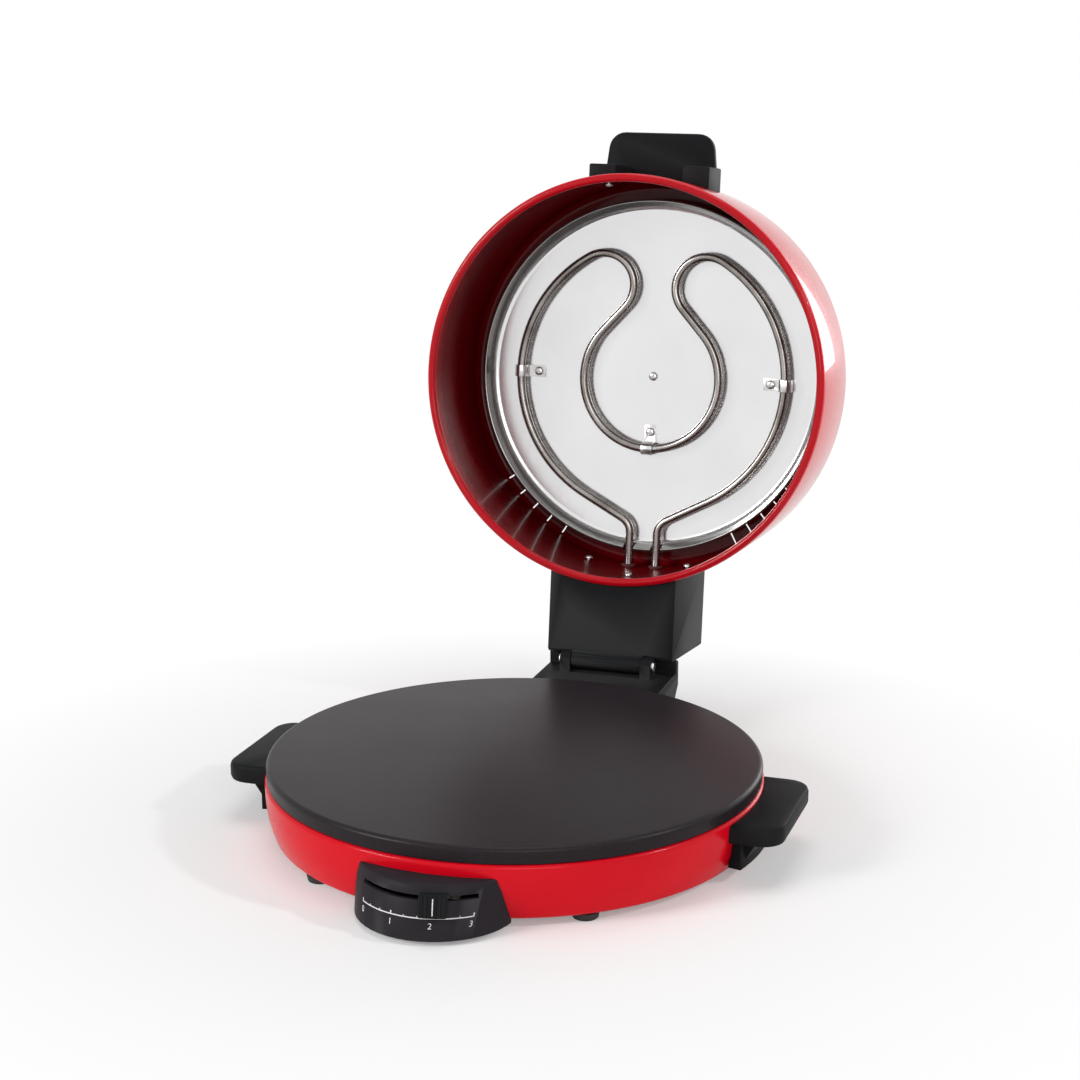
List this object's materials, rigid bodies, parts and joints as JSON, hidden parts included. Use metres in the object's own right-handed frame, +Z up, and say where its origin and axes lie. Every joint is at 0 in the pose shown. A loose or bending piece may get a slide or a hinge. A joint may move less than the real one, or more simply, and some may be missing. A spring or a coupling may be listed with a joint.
{
  "type": "electric flatbread maker with hinged hood",
  "caption": "Countertop electric flatbread maker: round hot plate on a low base, with a deep hinged hood that holds an upper heating element, and a slider thermostat.",
  "frame": {"origin": "middle of the bounding box on the surface it stands on, with the hood open", "axes": "+Z up, +Y from the control panel towards the hinge, +X to the right as seen from the front"},
  "size_m": [0.384, 0.5528, 0.4365],
  "materials": {
    "red_paint": "glossy red enamel",
    "nonstick": "black non-stick coating, satin",
    "black_plastic": "black, satin",
    "aluminium": "bright, satin",
    "steel": "bright",
    "element_steel": "satin sheath",
    "zinc": "zinc plated",
    "rubber": "matte black",
    "ceramic": "white heat-proof moulding",
    "black_steel": "black, matt"
  },
  "bodies": {
    "base": {"base_shell": "red_paint", "bottom_cover": "black_steel", "cover_screw_1": "zinc", "cover_screw_2": "zinc", "cover_screw_3": "zinc", "foot_front_left": "rubber", "foot_front_right": "rubber", "foot_rear_left": "rubber", "foot_rear_right": "rubber", "hot_plate": "nonstick", "lower_element": "element_steel", "lower_clamp_1": "zinc", "lower_clamp_2": "zinc", "lower_clamp_3": "zinc", "heat_shield": "aluminium", "shield_stud": "zinc", "control_panel": "black_plastic", "thermostat": "ceramic", "side_handle_left": "black_plastic", "side_handle_right": "black_plastic", "handle_screw_left_front": "zinc", "handle_screw_left_rear": "zinc", "handle_screw_right_front": "zinc", "handle_screw_right_rear": "zinc", "hinge_bracket": "black_plastic", "bracket_screw_left": "zinc", "bracket_screw_right": "zinc", "hinge_pin": "steel", "cord_gland": "rubber", "terminal_block": "ceramic"},
    "lever": {"thermostat_lever": "zinc", "lever_knob": "black_plastic"},
    "hood": {"hood_shell": "red_paint", "reflector": "aluminium", "tray_screw_middle": "steel", "tray_spacer_middle": "zinc", "tray_screw_left": "steel", "tray_spacer_left": "zinc", "tray_screw_right": "steel", "tray_spacer_right": "zinc", "tray_screw_rear": "steel", "tray_spacer_rear": "zinc", "upper_element": "element_steel", "element_clip_left": "steel", "element_clip_right": "steel", "element_clip_rear": "steel", "element_bushing_left": "ceramic", "element_bushing_right": "ceramic", "terminal_box": "black_plastic", "box_screw_left": "steel", "box_screw_right": "steel", "box_screw_middle": "steel", "lid_handle": "black_plastic", "lid_handle_screw_left": "steel", "lid_handle_screw_right": "steel"}
  },
  "joints": [
    {"name": "hood_hinge", "type": "hinge", "parent": "base", "child": "hood", "pos_m": [0, 0.12964, 0.0528], "axis": [1, 0, 0], "range_deg": [0, 97.1]},
    {"name": "thermostat_slider", "type": "hinge", "parent": "base", "child": "lever", "pos_m": [0, -0.21236, 0.0266], "axis": [0, 0, 1], "range_deg": [-51, 23]}
  ]
}
